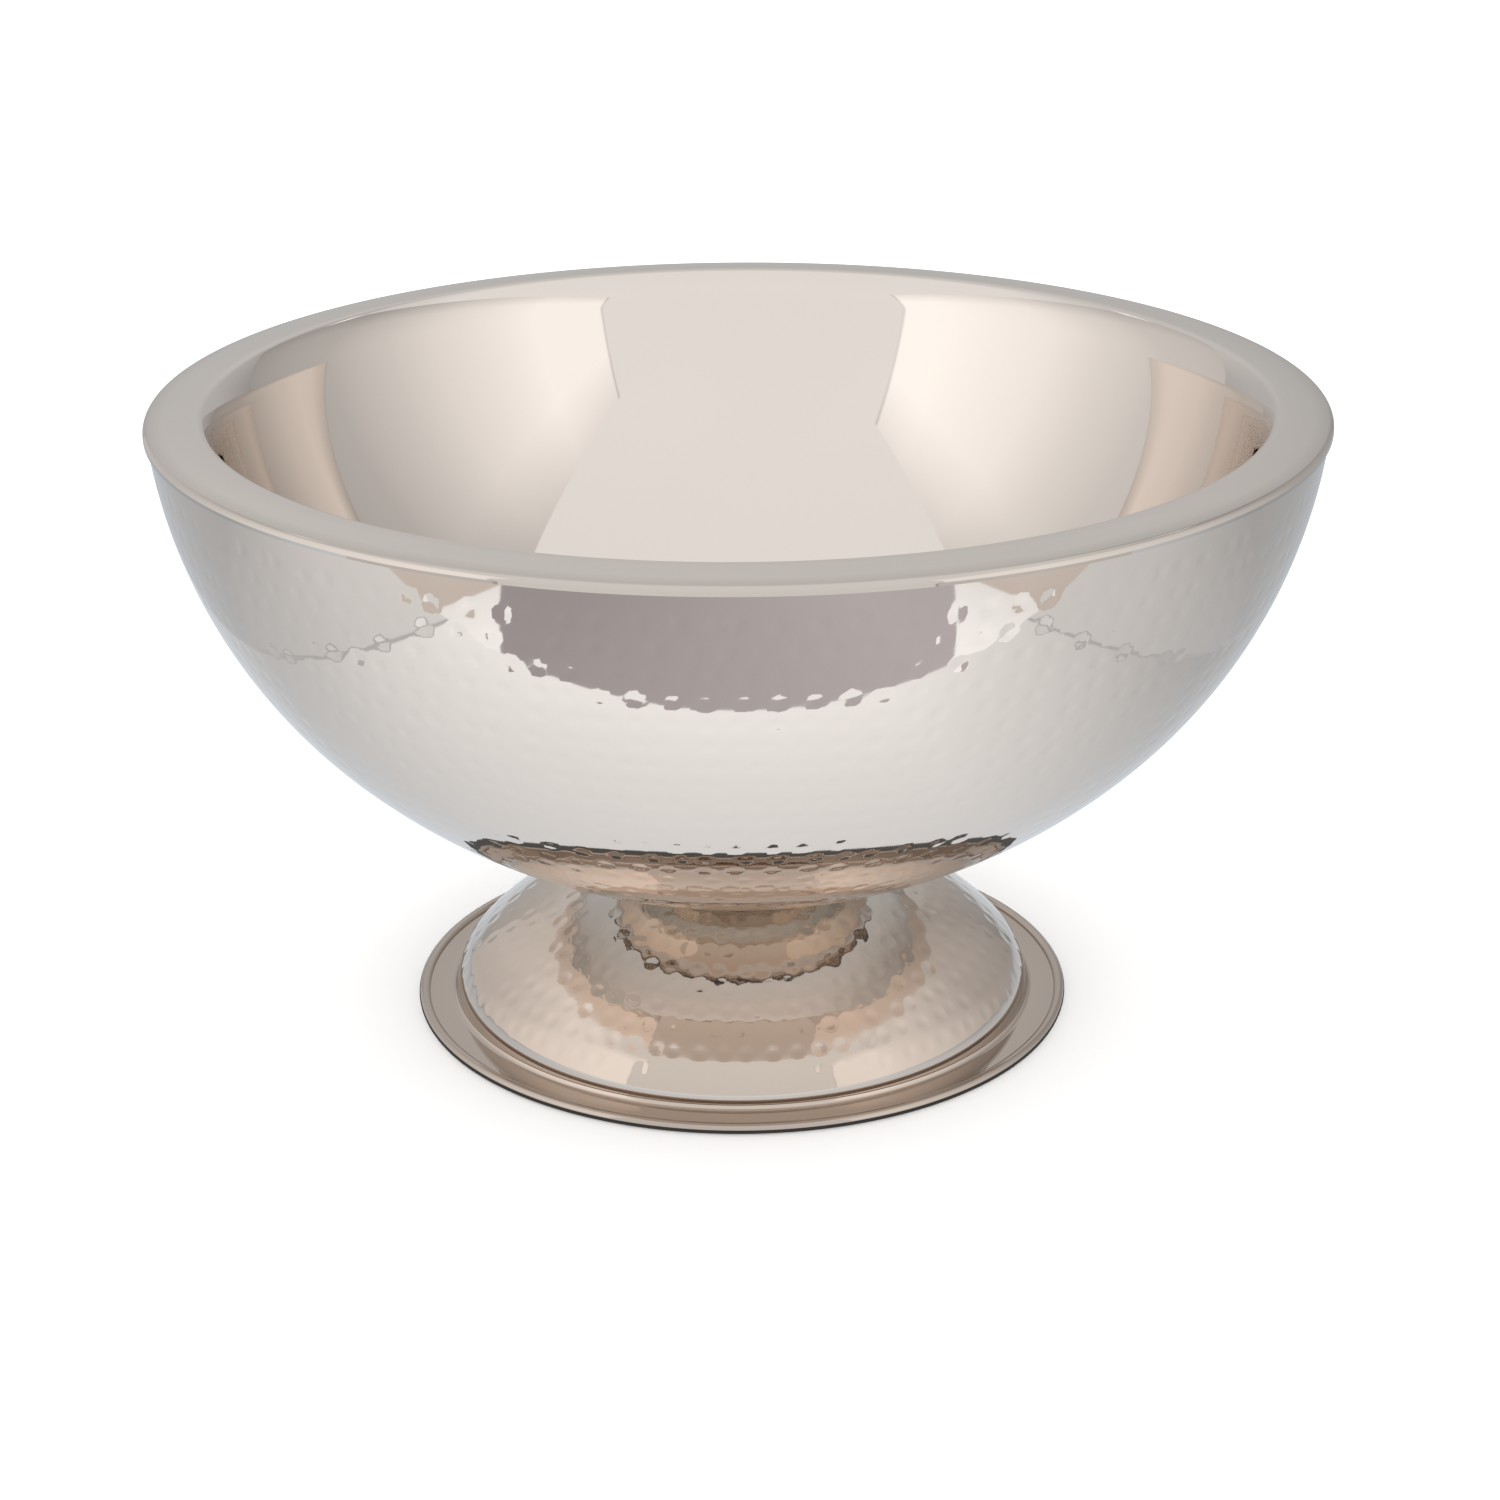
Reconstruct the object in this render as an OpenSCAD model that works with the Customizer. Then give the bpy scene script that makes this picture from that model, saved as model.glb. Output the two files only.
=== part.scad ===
// Double-wall punch bowl on a domed foot, in sheet stainless steel.
// The axis is Z and the table is z = 0. All sizes are in millimetres.

/* [Sheet] */
// Thickness of every spun sheet: liner, shell and foot
sheet_t = 1.0; // [0.8:0.1:1.2]

/* [Rim] */
// Outer radius of the rim
rim_r = 190; // [186:1:196]
// Height of the rim's crown above the table
rim_z = 211; // [210:0.5:213]
// Radius of the mouth, inside the rim
mouth_r = 170.3; // [166:0.1:172]
// Rounding where the liner turns out into the rim
mouth_round = 3; // [2:0.5:4]
// Radius of the flare that opens the liner towards its mouth
flare_r = 24; // [18:1:30]
// Lean of the liner from upright where the flare meets that rounding
flare_a = 42; // [36:1:44]
// Height of the seam below the lip, where the shell shows
seam_z = 206.8; // [205.5:0.1:207.2]
// Rounding of the lip's outer edge
lip_round = 2.1; // [1.6:0.1:2.4]
// Straight drop of the lip between its rounding and the seam
lip_drop = 0.8; // [0.6:0.1:0.9]
// Height of the shell's collar, which sits inside the lip
collar_h = 0.9; // [0.5:0.1:0.9]

/* [Bowl] */
// Radius of the shell's lower part, which is a piece of a sphere
shell_low_r = 199.5; // [197:0.5:202]
// Angle from straight down at which the shell's lower part meets its side
join_a = 45; // [42:1:47]
// Radius of the liner's lower part, also a piece of a sphere
liner_low_r = 167; // [164:0.5:170]
// Angle from straight down at which the liner's lower part meets its side
liner_join_a = 49; // [48:0.5:50]
// Height of the bowl's floor, inside, above the table
floor_z = 66; // [64:0.5:68]

/* [Foot] */
// Height of the seat where the shell stands on the foot
seat_z = 48; // [47:0.5:50]
// Radius of the flat deck on top of the foot
deck_r = 20; // [19.5:0.5:22]
// Radius of the dome's crown, in section
crown_r = 100; // [98:1:103]
// Radius of the dome's lower edge, in section
edge_r = 21; // [20:0.5:22]
// Angle above level at which the crown meets the lower edge
dome_a = 43.5; // [42.5:0.5:44]
// Rounding of the hollow where the dome runs out into the flange
hollow_round = 2; // [1.5:0.1:2.5]
// Height of the flange's top face above the table
flange_z = 2.4; // [2.2:0.1:2.6]
// Outer radius of the rolled bead at the flange's edge
foot_r = 111.4; // [109:0.1:118]
// Radius of the bead's own section
bead_r = 1.95; // [1.9:0.05:2.1]
// Depth by which the bead's underside is dressed flat
bead_land = 0.1; // [0.05:0.05:0.15]
// Opening left where the curled edge ends under the flange
curl_gap = 0.8; // [0.4:0.1:0.9]

/* [Fixing] */
// Radius of the stud
stud_r = 3; // [2.5:0.5:3]
// Radius of the holes that the stud passes through
stud_hole_r = 3.3; // [3.2:0.1:3.5]
// Radius of the stud's head
stud_head_r = 5; // [4.5:0.5:6]
// Height of the stud's head
stud_head_h = 4; // [3:0.5:5]
// Length of stud that shows below the nut
stud_tail = 3; // [2:0.5:6]
// Radius of the plate that holds the stud inside the shell
plate_r = 19; // [16:0.5:19]
// Thickness of that plate
plate_t = 2; // [1.5:0.5:3]
// Radius of the wide washer under the foot's deck
washer_r = 18; // [12:0.5:19]
// Thickness of the wide washer
washer_t = 1.6; // [1.2:0.2:2.4]
// Outer radius of the split spring washer
spring_r = 5.9; // [5.5:0.1:6.2]
// Thickness of the spring washer
spring_t = 1.6; // [1.2:0.1:2]
// Slit in the spring washer
spring_slit = 0.8; // [0.5:0.1:1]
// Width across the nut's flats
nut_flats = 10; // [10:0.5:11]
// Height of the nut
nut_h = 5; // [4:0.5:6]

/* [Hidden] */
$fn = 180;
// Straight steps in a long arc and in a small round
long_steps = 28;
short_steps = 8;
// Clearance between pieces that slide together
slip = 0.1;

// Depth by which the sphere is pressed flat at the seat
seat_dent = 1;
// Direction in which the curl's opening faces, inward and down
curl_a = 225;

// Centres of the spheres on the axis, and the ways from the joins to the side arcs' centres
low_centre = [0, seat_z - seat_dent + shell_low_r];
join_way = [-sin(join_a), cos(join_a)];
liner_centre = [0, floor_z + liner_low_r];
liner_way = [-sin(liner_join_a), cos(liner_join_a)];

// Shell: the side arc runs on smoothly from the join to the collar's foot
collar_r = rim_r - sheet_t - slip;
shell_join = low_centre - shell_low_r * join_way;
shell_rise = [collar_r, seam_z] - shell_join;
shell_side_r = shell_rise * shell_rise / (2 * shell_rise * join_way);
shell_side = shell_join + shell_side_r * join_way;

// Liner: the side arc runs on smoothly from the join to the flare, and that to the rounding
mouth_centre = [mouth_r + mouth_round, rim_z - mouth_round];
flare_centre = mouth_centre + (flare_r - mouth_round) * [cos(flare_a), -sin(flare_a)];
liner_join = liner_centre - liner_low_r * liner_way;
liner_rise = flare_centre - liner_join;
liner_side_r = (liner_rise * liner_rise - pow(flare_r, 2))
    / (2 * (liner_rise * liner_way + flare_r));
liner_side = liner_join + liner_side_r * liner_way;
wall_a = asin((liner_side[1] - flare_centre[1]) / (liner_side_r + flare_r));

// Rim: a crown that starts level at the mouth and touches the lip's rounding
lip_centre = [rim_r - lip_round, seam_z + lip_drop];
lip_way = lip_centre - [mouth_centre[0], rim_z];
rim_crown_r = (lip_way * lip_way - pow(lip_round, 2)) / (-2 * (lip_way[1] + lip_round));
rim_crown_a = asin(lip_way[0] / (rim_crown_r - lip_round));

// Foot: the dome's crown and edge arcs, then the hollow that touches the flange
crown_centre = [deck_r, seat_z - crown_r];
edge_centre = crown_centre + (crown_r - edge_r) * [cos(dome_a), sin(dome_a)];
hollow_z = flange_z + hollow_round;
hollow_a = asin((hollow_z - edge_centre[1]) / (edge_r + hollow_round));
hollow_centre = [edge_centre[0] + (edge_r + hollow_round) * cos(hollow_a), hollow_z];
bead_centre = [foot_r - bead_r, bead_r - bead_land];

// Fixing: heights from the foot's deck down, and the plate on the shell's seat
washer_z = seat_z - sheet_t - washer_t;
spring_z = washer_z - spring_t;
nut_z = spring_z - nut_h;
plate_z = seat_z + sheet_t;

// Points of an arc about c, from angle a to angle b measured from outward to up.
// The first point is left out where the outline is already there.
function arc(c, r, a, b, steps, first = 1) =
    [for (i = [first : steps]) let (t = a + (b - a) * i / steps) c + r * [cos(t), sin(t)]];

// The same points in the opposite order
function backwards(points) = [for (i = [len(points) - 1 : -1 : 0]) points[i]];

// Angle from straight down at which a sphere about low_centre reaches height z
function low_angle(r, z) = acos((low_centre[1] - z) / r);

// The shell's outer face, inset by d, from its flat seat to the seam
function shell_face(d) = concat(
    arc(low_centre, shell_low_r - d, low_angle(shell_low_r - d, seat_z + d) - 90,
        join_a - 90, long_steps, 0),
    arc(shell_side, shell_side_r - d, join_a - 90,
        -asin((shell_side[1] - seam_z) / (shell_side_r - d)), long_steps)
);

// The liner's inner face, with d added to it, from the axis over the rim to the seam
function liner_face(d) = concat(
    arc(liner_centre, liner_low_r + d, -90, liner_join_a - 90, long_steps, 0),
    arc(liner_side, liner_side_r + d, liner_join_a - 90, -wall_a, long_steps),
    arc(flare_centre, flare_r - d, 180 - wall_a, 180 - flare_a, short_steps),
    arc(mouth_centre, mouth_round - d, 180 - flare_a, 90, short_steps),
    arc([mouth_centre[0], rim_z - rim_crown_r], rim_crown_r - d, 90, 90 - rim_crown_a,
        short_steps),
    arc(lip_centre, lip_round - d, 90 - rim_crown_a, 0, short_steps),
    [[rim_r - d, seam_z]]
);

// The foot's outer face, inset by d, from the stud's hole to the bead
function foot_face(d) = concat(
    [[stud_hole_r, seat_z - d]],
    arc(crown_centre, crown_r - d, 90, dome_a, long_steps, 0),
    arc(edge_centre, edge_r - d, dome_a, hollow_a, short_steps),
    arc(hollow_centre, hollow_round + d, 180 + hollow_a, 270, short_steps),
    [[bead_centre[0] - bead_r + sheet_t / 2, flange_z - d]]
);

// Liner: the smooth inner bowl, its rim and the turned-down lip in one sheet
module inner_bowl() {
    color("gainsboro")
    rotate_extrude()
    polygon(concat(liner_face(0), backwards(liner_face(sheet_t))));
}

// Outer shell: the hammered bowl, with a flat seat and a collar inside the lip
module outer_shell() {
    collar_top = seam_z + collar_h;
    color("silver")
    rotate_extrude()
    polygon(concat(
        [[stud_hole_r, seat_z]],
        shell_face(0),
        [[collar_r, collar_top], [collar_r - sheet_t, collar_top]],
        backwards(shell_face(sheet_t)),
        [[stud_hole_r, seat_z + sheet_t]]
    ));
}

// The bead's section: the edge curled over and under, dressed flat where it stands
module bead_section() {
    difference() {
        translate(bead_centre)
        circle(r = bead_r, $fn = 48);
        translate(bead_centre)
        circle(r = bead_r - sheet_t, $fn = 48);
        translate(bead_centre)
        rotate(curl_a)
        translate([0, -curl_gap / 2])
        square([2 * bead_r, curl_gap]);
        translate([bead_centre[0] - bead_r, -bead_r])
        square([2 * bead_r, bead_r]);
    }
}

// Foot: a hammered dome that runs out into a flat flange with a rolled bead
module foot() {
    color("silver")
    union() {
        rotate_extrude()
        polygon(concat(foot_face(0), backwards(foot_face(sheet_t))));
        rotate_extrude()
        bead_section();
    }
}

// A flat ring from radius a to radius b, standing on height z
module ring(a, b, z, h) {
    translate([0, 0, z])
    difference() {
        cylinder(r = b, h = h);
        translate([0, 0, -1])
        cylinder(r = a, h = h + 2);
    }
}

// Plate in the air gap that spreads the stud's pull over the shell's seat
module stud_plate() {
    color("darkgray")
    ring(stud_r, plate_r, plate_z, plate_t);
}

// Stud: its head is fixed on the plate, and it runs down through shell and foot
module stud() {
    head_z = plate_z + plate_t;
    foot_z = nut_z - stud_tail;
    color("dimgray")
    union() {
        translate([0, 0, head_z])
        cylinder(r = stud_head_r, h = stud_head_h);
        translate([0, 0, foot_z])
        cylinder(r = stud_r, h = head_z - foot_z + stud_head_h / 2);
    }
}

// Wide washer under the foot's deck
module wide_washer() {
    color("darkgray")
    ring(stud_hole_r, washer_r, washer_z, washer_t);
}

// Spring washer, split on one side
module spring_washer() {
    color("slategray")
    difference() {
        ring(stud_r + slip, spring_r, spring_z, spring_t);
        translate([0, -spring_slit / 2, spring_z - 1])
        cube([2 * spring_r, spring_slit, spring_t + 2]);
    }
}

// Hexagon nut that clamps the foot to the bowl
module nut() {
    color("gray")
    translate([0, 0, nut_z])
    difference() {
        cylinder(r = nut_flats / 2 / cos(30), h = nut_h, $fn = 6);
        translate([0, 0, -1])
        cylinder(r = stud_r, h = nut_h + 2);
    }
}

inner_bowl();
outer_shell();
foot();
stud_plate();
stud();
wide_washer();
spring_washer();
nut();
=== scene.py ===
import math

import bpy
import numpy as np
from mathutils import Matrix, Vector


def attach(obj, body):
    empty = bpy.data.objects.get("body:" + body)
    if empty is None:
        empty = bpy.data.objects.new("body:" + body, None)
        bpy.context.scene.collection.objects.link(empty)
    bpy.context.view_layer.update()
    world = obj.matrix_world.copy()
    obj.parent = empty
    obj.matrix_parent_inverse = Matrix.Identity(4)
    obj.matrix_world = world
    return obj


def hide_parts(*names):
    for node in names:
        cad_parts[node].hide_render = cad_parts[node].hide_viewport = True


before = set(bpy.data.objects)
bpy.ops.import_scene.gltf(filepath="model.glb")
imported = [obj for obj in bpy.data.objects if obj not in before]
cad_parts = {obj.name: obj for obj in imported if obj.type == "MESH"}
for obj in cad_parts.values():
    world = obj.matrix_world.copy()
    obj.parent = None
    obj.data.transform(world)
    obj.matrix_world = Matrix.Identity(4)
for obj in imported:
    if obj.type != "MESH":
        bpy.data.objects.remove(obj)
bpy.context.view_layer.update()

MM = 0.001
ON_AXIS = 1e-6

# ---------------------------------------------------------------- sizes, mm
SHEET = 1.0
# The rim's outer radius and crown, the mouth with its rounding, and the flare below the mouth
RIM_R, RIM_Z = 190.0, 211.0
MOUTH_R, MOUTH_ROUND = 170.3, 3.0
FLARE_R, FLARE_A = 24.0, 42.0
# The seam, the lip's rounding and straight drop to it, and the shell's collar inside the lip
SEAM_Z, LIP_ROUND, LIP_DROP = 206.8, 2.1, 0.8
COLLAR_R, COLLAR_H = 188.9, 0.9
# The lower arcs of shell and liner, with the angles from straight down where their side arcs begin
LOW_R, JOIN = 199.5, 45.0
LINER_R, LINER_A, BOTTOM_Z = 167.0, 49.0, 66.0
# The seat between shell and foot, how far it is pressed up into the shell, and the stud's hole
SEAT_Z, PRESSED = 48.0, 1.0
DECK_R, HOLE_R = 20.0, 3.3
# The foot's dome, the hollow round it, its flange, and the bead rolled at the flange's edge
CROWN_R, EDGE_R, DOME_A = 100.0, 21.0, 43.5
HOLLOW, FLANGE_Z = 2.0, 2.4
FOOT_R, BEAD_R, LAND = 111.4, 1.95, 0.1
# The opening left where the bead's curl ends, and the way it faces
CURL, CURL_A = 0.8, 225.0


def sind(a):
    return math.sin(math.radians(a))


def cosd(a):
    return math.cos(math.radians(a))


def asind(v):
    return math.degrees(math.asin(v))


def acosd(v):
    return math.degrees(math.acos(v))


LOW_C = np.array([0.0, SEAT_Z - PRESSED + LOW_R])
LOW_WAY = np.array([-sind(JOIN), cosd(JOIN)])
SHELL_JOIN = LOW_C - LOW_R * LOW_WAY
SHELL_RISE = np.array([COLLAR_R, SEAM_Z]) - SHELL_JOIN
SHELL_SIDE_R = SHELL_RISE @ SHELL_RISE / (2 * SHELL_RISE @ LOW_WAY)
SHELL_SIDE = SHELL_JOIN + SHELL_SIDE_R * LOW_WAY

LINER_C = np.array([0.0, BOTTOM_Z + LINER_R])
LINER_WAY = np.array([-sind(LINER_A), cosd(LINER_A)])
MOUTH_C = np.array([MOUTH_R + MOUTH_ROUND, RIM_Z - MOUTH_ROUND])
FLARE_C = MOUTH_C + (FLARE_R - MOUTH_ROUND) * np.array([cosd(FLARE_A), -sind(FLARE_A)])
LINER_JOIN = LINER_C - LINER_R * LINER_WAY
LINER_RISE = FLARE_C - LINER_JOIN
LINER_SIDE_R = (LINER_RISE @ LINER_RISE - FLARE_R**2) / (2 * (LINER_RISE @ LINER_WAY + FLARE_R))
LINER_SIDE = LINER_JOIN + LINER_SIDE_R * LINER_WAY
WALL_A = asind((LINER_SIDE[1] - FLARE_C[1]) / (LINER_SIDE_R + FLARE_R))

LIP_C = np.array([RIM_R - LIP_ROUND, SEAM_Z + LIP_DROP])
LIP_RISE = LIP_C - np.array([MOUTH_C[0], RIM_Z])
RIM_CROWN_R = (LIP_RISE @ LIP_RISE - LIP_ROUND**2) / (-2 * (LIP_RISE[1] + LIP_ROUND))
RIM_CROWN_C = np.array([MOUTH_C[0], RIM_Z - RIM_CROWN_R])
RIM_CROWN_A = asind(LIP_RISE[0] / (RIM_CROWN_R - LIP_ROUND))

CROWN_C = np.array([DECK_R, SEAT_Z - CROWN_R])
EDGE_C = CROWN_C + (CROWN_R - EDGE_R) * np.array([cosd(DOME_A), sind(DOME_A)])
HOLLOW_A = asind((FLANGE_Z + HOLLOW - EDGE_C[1]) / (EDGE_R + HOLLOW))
HOLLOW_C = np.array([EDGE_C[0] + (EDGE_R + HOLLOW) * cosd(HOLLOW_A), FLANGE_Z + HOLLOW])
BEAD_C = np.array([FOOT_R - BEAD_R, BEAD_R - LAND])


# ------------------------------------------------------------ profile parts
# A part is an array of rows, each a radius, a height, and the radial and upward parts of the normal
def arc(centre, r, a, b, step, side=1):
    """An arc from angle a to angle b; side -1 turns its normals to the centre."""
    n = max(2, math.ceil(abs(math.radians(b - a)) * r / step))
    t = np.radians(np.linspace(a, b, n + 1))
    out = np.stack([np.cos(t), np.sin(t)], 1)
    return np.hstack([centre + r * out, side * out])


def line(p, q, normal, pieces=1):
    """A straight part from point p to point q."""
    p, q = np.array(p, float), np.array(q, float)
    t = np.linspace(0, 1, pieces + 1)[:, None]
    return np.hstack([p + (q - p) * t, np.tile(normal, (pieces + 1, 1))])


def under(part):
    """The same rows seen from the sheet's other side, in the opposite order."""
    turned_over = part[::-1].copy()
    turned_over[:, 2:] *= -1
    return turned_over


def travel(part):
    """Distance along a part at each of its rows."""
    return np.concatenate([[0], np.cumsum(np.linalg.norm(np.diff(part[:, :2], axis=0), axis=1))])


# ------------------------------------------------------------- hammer marks
UNEVEN = 0.12                # how unevenly the marks of a ring are spaced, against their pitch
WANDER = 0.35                # how far marks stray from their ring, mm
SIZES, DEPTHS = (0.88, 1.1), (0.75, 1.25)    # the range of marks, against the stated size and depth
REACH = 6.0                  # no mark reaches this far from its ring, mm


def hammer(rng, part, first, clear, spacing, pitch, size, depth):
    """Rings of marks along a part, from the distance first on, that keep clear of its far end."""
    s = travel(part)
    rings = []
    for at in np.arange(first, s[-1] - clear, spacing):
        n = int(round(2 * math.pi * np.interp(at, s, part[:, 0]) / pitch))
        angle = (np.arange(n) + rng.uniform(0, 1)) * 2 * math.pi / n
        angle = angle + rng.normal(0, UNEVEN, n) * 2 * math.pi / n
        rings.append(
            {
                "at": at,
                "angle": np.mod(angle, 2 * math.pi),
                "place": at + rng.normal(0, WANDER, n),
                "size": size * rng.uniform(*SIZES, n),
                "depth": depth * rng.uniform(*DEPTHS, n),
            }
        )
    return rings


def marks_at(rings, s, r, angles):
    """Depth of the marks round one row of a part, and its slopes along the profile and round the ring."""
    depth, along, across = np.zeros((3, len(angles)))
    for ring in rings:
        if abs(s - ring["at"]) >= REACH:
            continue
        order = np.argsort(ring["angle"])
        near = np.searchsorted(ring["angle"][order], angles)
        for k in (near, near - 1):
            i = order[k % len(order)]
            x = (np.mod(angles - ring["angle"][i] + math.pi, 2 * math.pi) - math.pi) * r
            y = s - ring["place"][i]
            inside = np.maximum(1 - (x * x + y * y) / ring["size"][i] ** 2, 0)
            mark = ring["depth"][i] * inside**2
            slope = -4 * ring["depth"][i] * inside / ring["size"][i] ** 2
            deeper = mark > depth
            depth = np.where(deeper, mark, depth)
            along = np.where(deeper, slope * y, along)
            across = np.where(deeper, slope * x, across)
    return depth, along, across


# --------------------------------------------------------- from part to mesh
def columns(r, cols, halve_at):
    """Points in a ring of radius r: one on the axis, and half as many inside each radius of halve_at."""
    return 1 if r < ON_AXIS else cols // 2 ** sum(r < radius for radius in halve_at)


def beaten_ring(part, i, s, count, rings):
    """Points and normals round row i of a part, with the marks of rings pressed in."""
    r, z, nr, nz = part[i]
    t = np.arange(count) * 2 * math.pi / count
    depth, along, across = marks_at(rings, s, r, t)
    ahead = part[min(i + 1, len(part) - 1), :2] - part[max(i - 1, 0), :2]
    ahead = ahead / np.linalg.norm(ahead)
    radius = r - depth * nr
    out = nr + along * ahead[0]
    points = np.stack([radius * np.cos(t), radius * np.sin(t), z - depth * nz], 1)
    normals = np.stack(
        [
            out * np.cos(t) - across * np.sin(t),
            out * np.sin(t) + across * np.cos(t),
            nz + along * ahead[1],
        ],
        1,
    )
    return points, normals


def band(a, b):
    """Faces between two rings, and their corner normals. A ring is its first point's number and normals."""
    if len(a[1]) < len(b[1]):
        a, b = b, a
    j = np.arange(len(a[1]) if len(b[1]) == 1 else len(b[1]))
    after = (j + 1) % len(j)
    if len(b[1]) == 1:
        shapes = [[(a, after), (a, j), (b, 0 * j)]]
    elif len(a[1]) == len(b[1]):
        shapes = [[(a, after), (a, j), (b, j), (b, after)]]
    else:
        # Ring a has twice as many points
        even, odd, next_even = 2 * j, 2 * j + 1, 2 * after
        shapes = [
            [(a, even), (a, odd), (b, j)],
            [(a, odd), (a, next_even), (b, after)],
            [(a, odd), (b, after), (b, j)],
        ]
    faces = [np.stack([ring[0] + k for ring, k in shape], 1) for shape in shapes]
    normals = [np.stack([ring[1][k] for ring, k in shape], 1) for shape in shapes]
    return faces, normals


def turned(name, parts, cols, halve_at=(), rings=()):
    """Turns parts about Z into one object, with the marks of rings pressed into the first part.

    Parts meet end to end and each keeps its own normals. A section that ends where it began is closed."""
    closed = np.allclose(parts[0][0, :2], parts[-1][-1, :2])
    points, faces, normals = [], [], []
    total, before = 0, None
    for k, part in enumerate(parts):
        s = travel(part)
        for i in range(len(part)):
            count = columns(part[i, 0], cols, halve_at)
            ring_points, ring_normals = beaten_ring(part, i, s[i], count, rings if k == 0 else ())
            last = k == len(parts) - 1 and i == len(part) - 1
            if closed and last:
                start = 0
            elif k == 0 or i > 0:
                start = total
                points.append(ring_points)
                total += count
            if i > 0:
                more_faces, more_normals = band(before, (start, ring_normals))
                faces += more_faces
                normals += more_normals
            before = (start, ring_normals)
    return build(name, np.vstack(points) * MM, faces, normals)


def build(name, points, faces, normals):
    """One object from points, blocks of equal-sided faces and their corner normals."""
    for f, n in zip(faces, normals):
        # Faces are turned so that they agree with their own normals
        p = points[f]
        facing = np.cross(p[:, 2] - p[:, 0], p[:, -1] - p[:, 1])
        wrong = (facing * n.mean(1)).sum(1) < 0
        f[wrong] = f[wrong][:, ::-1]
        n[wrong] = n[wrong][:, ::-1]
    corners = np.concatenate([f.ravel() for f in faces])
    sides = np.concatenate([np.full(len(f), f.shape[1]) for f in faces])
    corner_normals = np.concatenate([n.reshape(-1, 3) for n in normals])
    corner_normals /= np.linalg.norm(corner_normals, axis=1)[:, None]
    mesh = bpy.data.meshes.new(name)
    mesh.vertices.add(len(points))
    mesh.vertices.foreach_set("co", points.astype(np.float32).ravel())
    mesh.loops.add(len(corners))
    mesh.loops.foreach_set("vertex_index", corners.astype(np.int32))
    mesh.polygons.add(len(sides))
    mesh.polygons.foreach_set("loop_start", (np.cumsum(sides) - sides).astype(np.int32))
    mesh.update(calc_edges=True)
    mesh.polygons.foreach_set("use_smooth", np.ones(len(sides), bool))
    mesh.normals_split_custom_set(corner_normals.tolist())
    ob = bpy.data.objects.new(name, mesh)
    bpy.context.collection.objects.link(ob)
    return ob


# ---------------------------------------------------------------- the liner
def liner_rows(d, step, fine):
    """Parts from the axis over the rim to the seam, for the liner's face (d = 0) or its back (d = SHEET)."""
    return [
        arc(LINER_C, LINER_R + d, -90, LINER_A - 90, step, -1),
        arc(LINER_SIDE, LINER_SIDE_R + d, LINER_A - 90, -WALL_A, step, -1),
        arc(FLARE_C, FLARE_R - d, 180 - WALL_A, 180 - FLARE_A, fine * 3),
        arc(MOUTH_C, MOUTH_ROUND - d, 180 - FLARE_A, 90, fine),
        arc(RIM_CROWN_C, RIM_CROWN_R - d, 90, 90 - RIM_CROWN_A, fine * 4),
        arc(LIP_C, LIP_ROUND - d, 90 - RIM_CROWN_A, 0, fine),
        line((RIM_R - d, SEAM_Z + LIP_DROP), (RIM_R - d, SEAM_Z), (1, 0)),
    ]


liner_face = liner_rows(0, step=3.0, fine=0.35)
liner_back = [under(part) for part in reversed(liner_rows(SHEET, step=8.0, fine=0.5))]
lip_end = line((RIM_R, SEAM_Z), (RIM_R - SHEET, SEAM_Z), (0, -1))
liner = turned("liner", liner_face + [lip_end] + liner_back, cols=384)

# ---------------------------------------------------------------- the shell
SKIN_STEP, INNER_STEP = 1.65, 8.0
SKIN_HALVES = (97.0, 49.0)    # inside each of these radii the columns halve
COLLAR_Z = SEAM_Z + COLLAR_H
rng = np.random.default_rng(11)


def low_end(r, z):
    """Angle at which the shell's lower arc of radius r comes down to height z."""
    return acosd((LOW_C[1] - z) / r) - 90


def side_end(r):
    """Angle at which the shell's side arc of radius r comes up to the seam."""
    return -asind((SHELL_SIDE[1] - SEAM_Z) / r)


skin = np.vstack(
    [
        arc(SHELL_SIDE, SHELL_SIDE_R, side_end(SHELL_SIDE_R), JOIN - 90, SKIN_STEP)[:-1],
        arc(LOW_C, LOW_R, JOIN - 90, low_end(LOW_R, SEAT_Z), SKIN_STEP),
    ]
)
low_r, side_r = LOW_R - SHEET, SHELL_SIDE_R - SHEET
inner_low = arc(LOW_C, low_r, low_end(low_r, SEAT_Z + SHEET), JOIN - 90, INNER_STEP, -1)
inner_side = arc(SHELL_SIDE, side_r, JOIN - 90, side_end(side_r), INNER_STEP, -1)
shell_parts = [
    skin,
    line(skin[-1, :2], (HOLE_R, SEAT_Z), (0, -1), pieces=2),
    line((HOLE_R, SEAT_Z), (HOLE_R, SEAT_Z + SHEET), (-1, 0)),
    line((HOLE_R, SEAT_Z + SHEET), inner_low[0, :2], (0, 1), pieces=2),
    inner_low,
    inner_side,
    line(inner_side[-1, :2], (COLLAR_R - SHEET, COLLAR_Z), (-1, 0)),
    line((COLLAR_R - SHEET, COLLAR_Z), (COLLAR_R, COLLAR_Z), (0, 1)),
    line((COLLAR_R, COLLAR_Z), (COLLAR_R, SEAM_Z), (1, 0)),
]
shell_marks = hammer(rng, skin, first=9.0, clear=28.0, spacing=8.3, pitch=9.8, size=3.5, depth=0.125)
shell = turned("shell", shell_parts, cols=640, halve_at=SKIN_HALVES, rings=shell_marks)


# ----------------------------------------------------------------- the foot
DOME_STEP, UNDER_STEP, EDGE_STEP = 1.2, 4.0, 1.5
HOLLOW_STEP, BEND_STEP = 0.35, 0.5
BEAD_STEP, CORE_STEP = 0.3, 0.35
DOME_HALVES = (48.0,)    # inside this radius the columns halve
CORE = BEAD_R - SHEET
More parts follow.
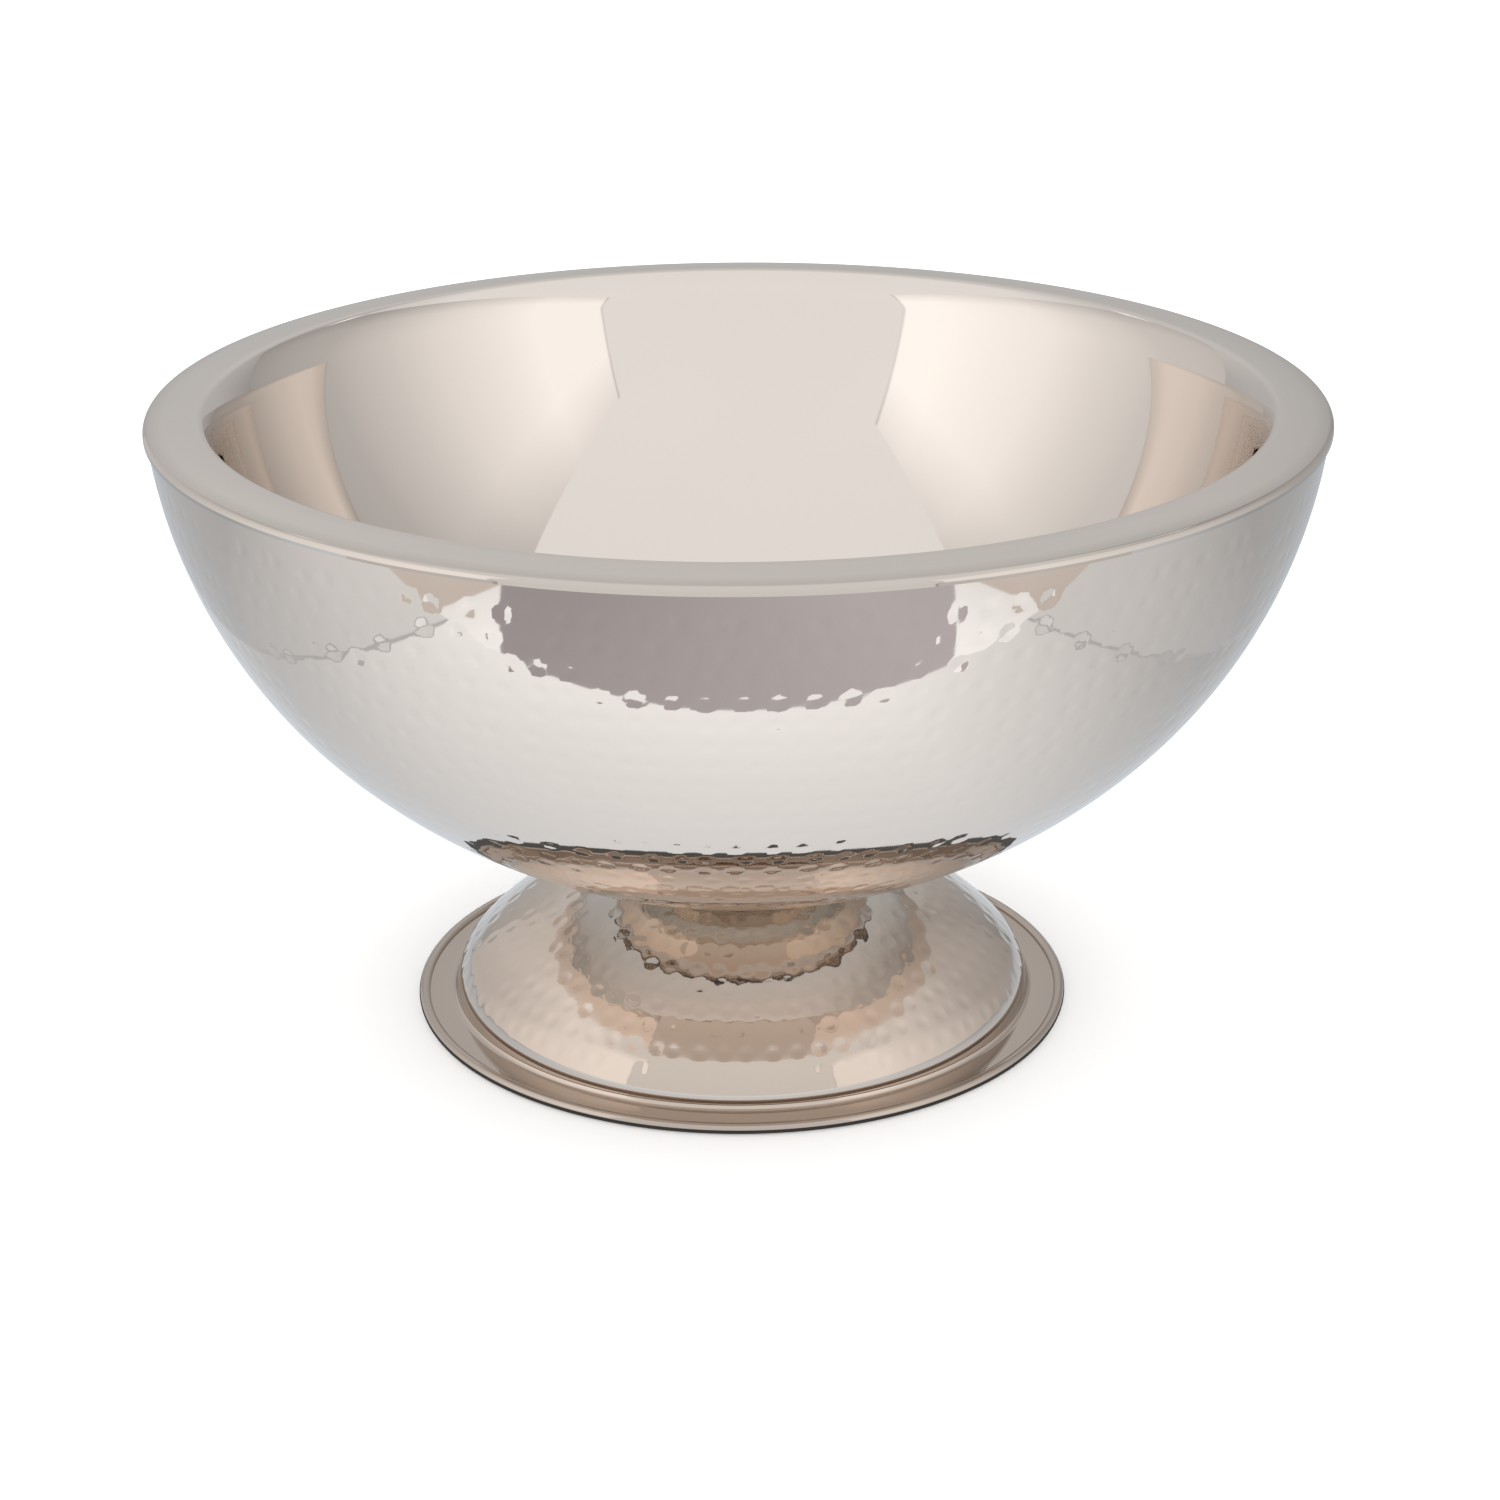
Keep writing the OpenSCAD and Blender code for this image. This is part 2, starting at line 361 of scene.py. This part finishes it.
# Angles on the bead: where the flange's two faces meet it, and half of its flat and of the curl's opening
MEET_TOP = asind((FLANGE_Z - BEAD_C[1]) / BEAD_R)
MEET_LOW = asind((BEAD_C[1] - FLANGE_Z + SHEET) / BEAD_R)
FLAT_A = acosd(BEAD_C[1] / BEAD_R)
OUT_HALF = asind(CURL / 2 / BEAD_R)
IN_HALF = asind(CURL / 2 / CORE)


def on_bead(r, a):
    return BEAD_C + r * np.array([cosd(a), sind(a)])


def bead_arc(r, a, b, step=BEAD_STEP, side=1):
    return arc(BEAD_C, r, a, b, step, side)


dome = np.vstack(
    [
        arc(EDGE_C, EDGE_R, HOLLOW_A, DOME_A, DOME_STEP)[:-1],
        arc(CROWN_C, CROWN_R, DOME_A, 90, DOME_STEP),
    ]
)
slot_way = np.array([cosd(CURL_A - 90), sind(CURL_A - 90)])
foot_parts = [
    dome,
    # Over the deck, through the hole, and under the deck and the dome to the flange's underside
    line((DECK_R, SEAT_Z), (HOLE_R, SEAT_Z), (0, 1), pieces=2),
    line((HOLE_R, SEAT_Z), (HOLE_R, SEAT_Z - SHEET), (-1, 0)),
    line((HOLE_R, SEAT_Z - SHEET), (DECK_R, SEAT_Z - SHEET), (0, -1), pieces=2),
    arc(CROWN_C, CROWN_R - SHEET, 90, DOME_A, UNDER_STEP, -1),
    arc(EDGE_C, EDGE_R - SHEET, DOME_A, HOLLOW_A, EDGE_STEP, -1),
    arc(HOLLOW_C, HOLLOW + SHEET, 180 + HOLLOW_A, 270, BEND_STEP),
    line((HOLLOW_C[0], FLANGE_Z - SHEET), on_bead(BEAD_R, 180 + MEET_LOW), (0, -1), pieces=2),
    # The curl, from under the flange to its free end and round
    bead_arc(BEAD_R, 180 + MEET_LOW, CURL_A - OUT_HALF),
    line(on_bead(BEAD_R, CURL_A - OUT_HALF), on_bead(CORE, CURL_A - IN_HALF), -slot_way),
    bead_arc(CORE, CURL_A - IN_HALF, CURL_A + IN_HALF - 360, CORE_STEP, -1),
    line(on_bead(CORE, CURL_A + IN_HALF), on_bead(BEAD_R, CURL_A + OUT_HALF), slot_way),
    bead_arc(BEAD_R, CURL_A + OUT_HALF, 270 - FLAT_A),
    line(on_bead(BEAD_R, 270 - FLAT_A), on_bead(BEAD_R, 270 + FLAT_A), (0, -1)),
    bead_arc(BEAD_R, 270 + FLAT_A, 540 - MEET_TOP),
    line(on_bead(BEAD_R, 180 - MEET_TOP), (HOLLOW_C[0], FLANGE_Z), (0, 1), pieces=3),
    # The hollow, whose normals turn to its own centre
    arc(HOLLOW_C, HOLLOW, 270, 180 + HOLLOW_A, HOLLOW_STEP, -1),
]
foot_marks = hammer(rng, dome, first=9.0, clear=4.0, spacing=7.5, pitch=7.6, size=3.4, depth=0.13)
base = turned("base", foot_parts, cols=576, halve_at=DOME_HALVES, rings=foot_marks)

for ob, node in ((liner, "inner_bowl"), (shell, "outer_shell"), (base, "foot")):
    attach(ob, "root")
    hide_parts(node)


# ---------------------------------------------------------------- materials
# The noise's scale and detail, and the stretch of its values over which steel changes
CLOUD_SCALE, CLOUD_DETAIL = 9.0, 3.0
CLOUD_LOW, CLOUD_HIGH = 0.3, 0.7
# The tone at the low end of that stretch, and the share by which roughness goes below and above its middle
CLOUD_TONE, CLOUD_GLOSS = 0.985, 0.2
# Roughness of the polished liner, of the beaten sheets and of the fixings
POLISHED, BEATEN, PLAIN = 0.03, 0.045, 0.35
# Tones of the steel; the steps between one piece's tones, set by distance from the axis below, are painted
# light and painted shade
TINT = (0.66, 0.568, 0.497)
PALE = (0.73, 0.68, 0.63)
INSIDE = (0.70, 0.645, 0.60)
RIM = (0.685, 0.63, 0.58)
GREY = (0.55, 0.55, 0.56)


def times(colour, k):
    return tuple(c * k for c in colour)


def material(name):
    m = bpy.data.materials.new(name)
    m.use_nodes = True
    return m, m.node_tree.nodes, m.node_tree.links


def math_node(nodes, links, kind, a, b):
    """A Math node; each of a and b is a socket or a number."""
    m = nodes.new("ShaderNodeMath")
    m.operation = kind
    for k, v in enumerate((a, b)):
        if isinstance(v, (int, float)):
            m.inputs[k].default_value = v
        else:
            links.new(v, m.inputs[k])
    return m.outputs["Value"]


def range_node(nodes, links, source, low, high, to_low=0.0, to_high=1.0):
    """The source's stretch from low to high, mapped to the stretch from to_low to to_high."""
    span = nodes.new("ShaderNodeMapRange")
    span.inputs["From Min"].default_value = low
    span.inputs["From Max"].default_value = high
    span.inputs["To Min"].default_value = to_low
    span.inputs["To Max"].default_value = to_high
    links.new(source, span.inputs["Value"])
    return span.outputs["Result"]


def ramp_node(nodes, links, source, stops):
    """Colours along the source; stops are pairs of a value and an RGB colour."""
    low, high = stops[0][0], stops[-1][0]
    ramp = nodes.new("ShaderNodeValToRGB")
    bar = ramp.color_ramp
    for k, (value, colour) in enumerate(stops):
        place = (value - low) / (high - low)
        stop = bar.elements[k] if k < 2 else bar.elements.new(place)
        stop.position = place
    for stop, (value, colour) in zip(bar.elements, stops):
        stop.color = [*colour, 1]
    links.new(range_node(nodes, links, source, low, high), ramp.inputs["Fac"])
    return ramp.outputs["Color"]


def tinted(nodes, links, a, b):
    """Colour a multiplied by colour b."""
    mix = nodes.new("ShaderNodeMix")
    mix.data_type = "RGBA"
    mix.blend_type = "MULTIPLY"
    sockets = {i.identifier: i for i in mix.inputs}
    sockets["Factor_Float"].default_value = 1.0
    links.new(a, sockets["A_Color"])
    links.new(b, sockets["B_Color"])
    return next(o for o in mix.outputs if o.identifier == "Result_Color")


def steel(name, tones, rough):
    """Steel whose tone follows the distance from the axis in metres, with faint clouds in tone and gloss;
    steps of tone along that distance are painted light and painted shade.
    """
    m, nodes, links = material(name)
    bsdf = nodes["Principled BSDF"]
    bsdf.inputs["Metallic"].default_value = 1.0
    at = nodes.new("ShaderNodeTexCoord").outputs["Object"]
    cloud = nodes.new("ShaderNodeTexNoise")
    cloud.inputs["Scale"].default_value = CLOUD_SCALE
    cloud.inputs["Detail"].default_value = CLOUD_DETAIL
    links.new(at, cloud.inputs["Vector"])
    clouds = cloud.outputs["Fac"]
    split = nodes.new("ShaderNodeSeparateXYZ")
    links.new(at, split.inputs["Vector"])
    squares = [math_node(nodes, links, "MULTIPLY", split.outputs[a], split.outputs[a]) for a in "XY"]
    away = math_node(nodes, links, "SQRT", math_node(nodes, links, "ADD", *squares), 0)
    shades = [(CLOUD_LOW, (CLOUD_TONE,) * 3), (CLOUD_HIGH, (1.0,) * 3)]
    shade = ramp_node(nodes, links, clouds, shades)
    colour = tinted(nodes, links, ramp_node(nodes, links, away, tones), shade)
    links.new(colour, bsdf.inputs["Base Color"])
    low, high = rough * (1 - CLOUD_GLOSS), rough * (1 + CLOUD_GLOSS)
    roughness = range_node(nodes, links, clouds, CLOUD_LOW, CLOUD_HIGH, low, high)
    links.new(roughness, bsdf.inputs["Roughness"])
    return m


# The liner's rim a little darker than its inside, and darker still over the lip's rounding: painted shade
liner_tones = [
    (0.0, INSIDE), (0.1715, INSIDE),
    (0.1745, RIM), (0.184, RIM), (0.188, times(RIM, 0.88)), (0.190, times(RIM, 0.8)),
]
# The shell paler near the axis, where it faces the foot: painted light
shell_tones = [(0.02, PALE), (0.06, PALE), (0.085, TINT), (0.19, TINT)]
# The foot paler at its top: painted light; darker from the dome's edge over the hollow, the flange and the
# bead: painted shade
foot_tones = [
    (0.02, PALE), (0.045, PALE), (0.065, TINT),
    (0.083, times(TINT, 0.97)), (0.091, times(TINT, 0.85)),
    (0.109, times(TINT, 0.78)), (0.112, times(TINT, 0.65)),
]
liner.data.materials.append(steel("liner_steel", liner_tones, POLISHED))
shell.data.materials.append(steel("shell_steel", shell_tones, BEATEN))
base.data.materials.append(steel("base_steel", foot_tones, BEATEN))
fixing = steel("fixing_steel", [(0.0, GREY), (0.2, GREY)], PLAIN)
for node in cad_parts.values():
    node.data.materials.clear()
    node.data.materials.append(fixing)

# ------------------------------------------------------------- stage, metres
# Tones of the light
COOL = (0.92, 1.0, 1.08)
DIM = (0.98, 1.0, 1.11)
MILD = (1.02, 1.0, 0.985)
EVEN = (1.0, 1.0, 1.0)
RAMP_TOP = 2.0    # a ramp's colours end at 1, so levels are divided by this in the ramp

# The white sheet's sides and those of the painted shadow line along its edge, the table's front edge, and
# the pit before it
PAPER_LEFT, PAPER_RIGHT = -0.31, 0.305
EDGE_SHADOW_LEFT, EDGE_SHADOW_RIGHT = -0.317, 0.311
TABLE_Y = -0.29
PIT_Y, PIT_Z = -1.43, -0.5
# The walls round the room, its roof, the floor far below, and the white sky outside
BACK_Y, FRONT_Y = 1.5, -2.4
WALL_X, WALL_LOW, WALL_TOP = 1.0, -0.6, 1.35
LEFT_Y, RIGHT_Y = -1.11, -1.48
ROOF_Z, BELOW_Z = 2.6, -1.6
SKY = 1.7
FLOOR_WHITE = 0.93
# Heights that keep the painted shadow line at the sheet's edge, the sheet and the shade off the table, and
# the radii of the shade
EDGE_SHADOW_LIFT, PAPER_LIFT, SHADE_LIFT = 0.0001, 0.0002, 0.0006
SHADE_IN, SHADE_OUT = 0.1105, 0.1175


def glow(name, tone, **along):
    """Light whose level is a product of ramps along the axes; a stop is a place in metres and a level."""
    m, nodes, links = material(name)
    nodes.remove(nodes["Principled BSDF"])
    at = nodes.new("ShaderNodeNewGeometry")
    split = nodes.new("ShaderNodeSeparateXYZ")
    links.new(at.outputs["Position"], split.inputs["Vector"])
    light = nodes.new("ShaderNodeEmission")
    light.inputs["Color"].default_value = [*tone, 1]
    level = 1.0
    for axis, stops in along.items():
        scaled = [(place, (value / RAMP_TOP,) * 3) for place, value in stops]
        ramp = ramp_node(nodes, links, split.outputs[axis], scaled)
        full = math_node(nodes, links, "MULTIPLY", ramp, RAMP_TOP)
        level = math_node(nodes, links, "MULTIPLY", full, level)
    links.new(level, light.inputs["Strength"])
    links.new(light.outputs["Emission"], nodes["Material Output"].inputs["Surface"])
    return m


def card(name, verts, mat, faces=None, reflected=True):
    """A card of the studio, of one face unless faces are given. The steel alone sees a reflected card."""
    mesh = bpy.data.meshes.new(name)
    mesh.from_pydata(verts, [], faces or [tuple(range(len(verts)))])
    mesh.materials.append(mat)
    ob = bpy.data.objects.new(name, mesh)
    bpy.context.collection.objects.link(ob)
    if reflected:
        ob.visible_camera = False
        ob.visible_diffuse = False
        ob.visible_shadow = False
        ob.visible_transmission = False
        ob.visible_volume_scatter = False
    return ob


def flat(name, x0, x1, y0, y1, z, mat, reflected=True):
    return card(name, [(x0, y0, z), (x1, y0, z), (x1, y1, z), (x0, y1, z)], mat, reflected=reflected)


def side_wall(name, x, y0, y1, z0, z1, mat):
    return card(name, [(x, y0, z0), (x, y1, z0), (x, y1, z1), (x, y0, z1)], mat)


def end_wall(name, y, x0, x1, z0, z1, mat):
    return card(name, [(x0, y, z0), (x1, y, z0), (x1, y, z1), (x0, y, z1)], mat)


def ring_card(name, r0, r1, z, mat):
    """A flat ring round the axis."""
    turns = np.radians(np.arange(0, 360, 5))
    verts = [(r * math.cos(t), r * math.sin(t), z) for t in turns for r in (r0, r1)]
    n = len(verts)
    return card(name, verts, mat, [(k, k + 1, (k + 3) % n, (k + 2) % n) for k in range(0, n, 2)])


floor_mat, nodes, links = material("floor_paper")
paper = nodes["Principled BSDF"].inputs
paper["Base Color"].default_value = (FLOOR_WHITE, FLOOR_WHITE, FLOOR_WHITE, 1)
paper["Roughness"].default_value = 0.9
paper["Specular IOR Level"].default_value = 0.0
floor = flat("floor", -20, 20, -20, 20, 0, floor_mat, reflected=False)
floor.visible_glossy = False

# What the steel sees of the table: a white sheet, a painted shadow line along its edge, and the shade under
# the edge of the foot
sheet = glow(
    "sheet_light", COOL,
    Y=[(TABLE_Y, 1.38), (-0.15, 1.13), (-0.03, 0.86), (0.05, 0.76), (0.5, 0.76)],
    X=[(PAPER_LEFT, 0.97), (-0.2, 1.0), (0.12, 1.0), (0.22, 0.88), (0.31, 0.78)],
)
flat("sheet", PAPER_LEFT, PAPER_RIGHT, TABLE_Y, BACK_Y, PAPER_LIFT, sheet)
# A dim strip a little wider than the sheet, seen round its edges: a painted shadow line
edge = glow("edge_shadow_light", COOL, Y=[(-0.3, 0.7), (BACK_Y, 0.5)])
flat("sheet_edge_shadow", EDGE_SHADOW_LEFT, EDGE_SHADOW_RIGHT, TABLE_Y, BACK_Y, EDGE_SHADOW_LIFT, edge)
table = glow(
    "table_light", COOL,
    Y=[(TABLE_Y, 1.10), (-0.15, 1.0), (0.0, 0.80), (0.12, 0.66), (0.5, 0.64)],
    X=[(-0.5, 0.95), (0.0, 1.0), (0.5, 0.85)],
)
flat("table", -1.5, 1.5, TABLE_Y, BACK_Y, 0, table)
shade = glow("shade_light", EVEN, X=[(-0.2, 0.10), (0.2, 0.10)])
ring_card("contact", SHADE_IN, SHADE_OUT, SHADE_LIFT, shade)

# Before the table: a dim pit with bright wedges beside it and a dark gap beyond, and far below it the floor
pit = glow("pit_light", DIM, X=[(-0.9, 0.48), (-0.6, 0.50), (0.0, 0.60), (0.5, 0.68), (0.9, 0.66)])
pit_corners = [(-1.28, PIT_Y), (1.11, PIT_Y), (0.36, TABLE_Y), (-0.43, TABLE_Y)]
card("pit", [(x, y, PIT_Z) for x, y in pit_corners], pit)
wedge = glow("wedge_light", COOL, X=[(-WALL_X, 1.3), (-0.5, 1.6), (0.5, 1.6), (WALL_X, 1.25)])
flat("wedges", -WALL_X, WALL_X, PIT_Y, TABLE_Y, PIT_Z - 0.001, wedge)
gap = glow("gap_light", EVEN, X=[(-WALL_X, 0.4), (WALL_X, 0.4)])
flat("gap", -WALL_X, WALL_X, -1.8, PIT_Y, PIT_Z, gap)
below = glow("below_light", EVEN, X=[(-4.0, 1.1), (4.0, 1.15)])
flat("below", -4, 4, -4, BACK_Y, BELOW_Z, below)

# The room: two bright side walls, a dimmer back wall, a front wall and a roof
left = glow(
    "left_light", MILD,
    Y=[(LEFT_Y, 1.0), (-1.085, 1.0), (-1.075, 1.44), (-0.7, 1.42), (-0.1, 1.22), (0.2, 1.01),
       (0.6, 0.82), (BACK_Y, 0.70)],
    Z=[(WALL_LOW, 0.55), (-0.1, 0.62), (0.0, 1.0), (0.95, 1.0), (WALL_TOP, 0.8)],
)
side_wall("left_wall", -WALL_X, LEFT_Y, BACK_Y, WALL_LOW, WALL_TOP, left)
right = glow(
    "right_light", MILD,
    Y=[(RIGHT_Y, 0.9), (-1.455, 0.9), (-1.445, 1.34), (-0.75, 1.34), (-0.14, 1.03), (0.12, 0.84),
       (0.5, 0.62), (BACK_Y, 0.44)],
    Z=[(WALL_LOW, 0.58), (-0.1, 0.68), (0.0, 1.0), (0.95, 1.0), (WALL_TOP, 0.8)],
)
side_wall("right_wall", WALL_X, RIGHT_Y, BACK_Y, WALL_LOW, WALL_TOP, right)
back = glow(
    "back_light", EVEN,
    Z=[(0.0, 0.5), (0.5, 0.60), (0.9, 0.72), (1.4, 0.76), (ROOF_Z, 0.82)],
    X=[(-1.6, 0.95), (-0.5, 1.02), (0.4, 0.97), (1.0, 0.72), (1.6, 0.7)],
)
end_wall("back_wall", BACK_Y, -1.6, 1.6, WALL_LOW, ROOF_Z, back)
front = glow("front_light", EVEN, Z=[(-1.1, 1.05), (2.0, 1.08)])
end_wall("front_wall", FRONT_Y, -3.5, 3.5, -2.0, 3.0, front)
roof = glow("roof_light", EVEN, Y=[(FRONT_Y, 1.08), (0.0, 1.05), (0.8, 0.88), (BACK_Y, 0.82)])
flat("roof", -3.5, 3.5, FRONT_Y, BACK_Y, ROOF_Z, roof)

world = bpy.data.worlds.new("studio")
scene = bpy.context.scene
scene.world = world
world.use_nodes = True
sky = world.node_tree.nodes["Background"].inputs
sky["Color"].default_value = (1, 1, 1, 1)
sky["Strength"].default_value = SKY

# ------------------------------------------------------------------- camera
CAMERA_AT = (0, -1.00749, 0.48931)
LENS, SENSOR = 77.2, 36
PITCH, YAW, ROLL = (math.radians(a) for a in (21.786, 0.18, -0.288))

cam_data = bpy.data.cameras.new("camera")
cam_data.sensor_width = SENSOR
cam_data.lens = LENS
cam_data.clip_start, cam_data.clip_end = 0.05, 100
ahead = Vector((math.sin(YAW) * math.cos(PITCH), math.cos(YAW) * math.cos(PITCH), -math.sin(PITCH)))
level_way = Vector((math.cos(YAW), -math.sin(YAW), 0))
upward = level_way.cross(ahead)
aside = math.cos(ROLL) * level_way + math.sin(ROLL) * upward
up = math.cos(ROLL) * upward - math.sin(ROLL) * level_way
cam = bpy.data.objects.new("camera", cam_data)
cam.matrix_world = Matrix.Translation(CAMERA_AT) @ Matrix((aside, up, -ahead)).transposed().to_4x4()
bpy.context.collection.objects.link(cam)
scene.camera = cam
scene.view_settings.view_transform = "Standard"
scene.cycles.max_bounces = 16
scene.cycles.glossy_bounces = 14
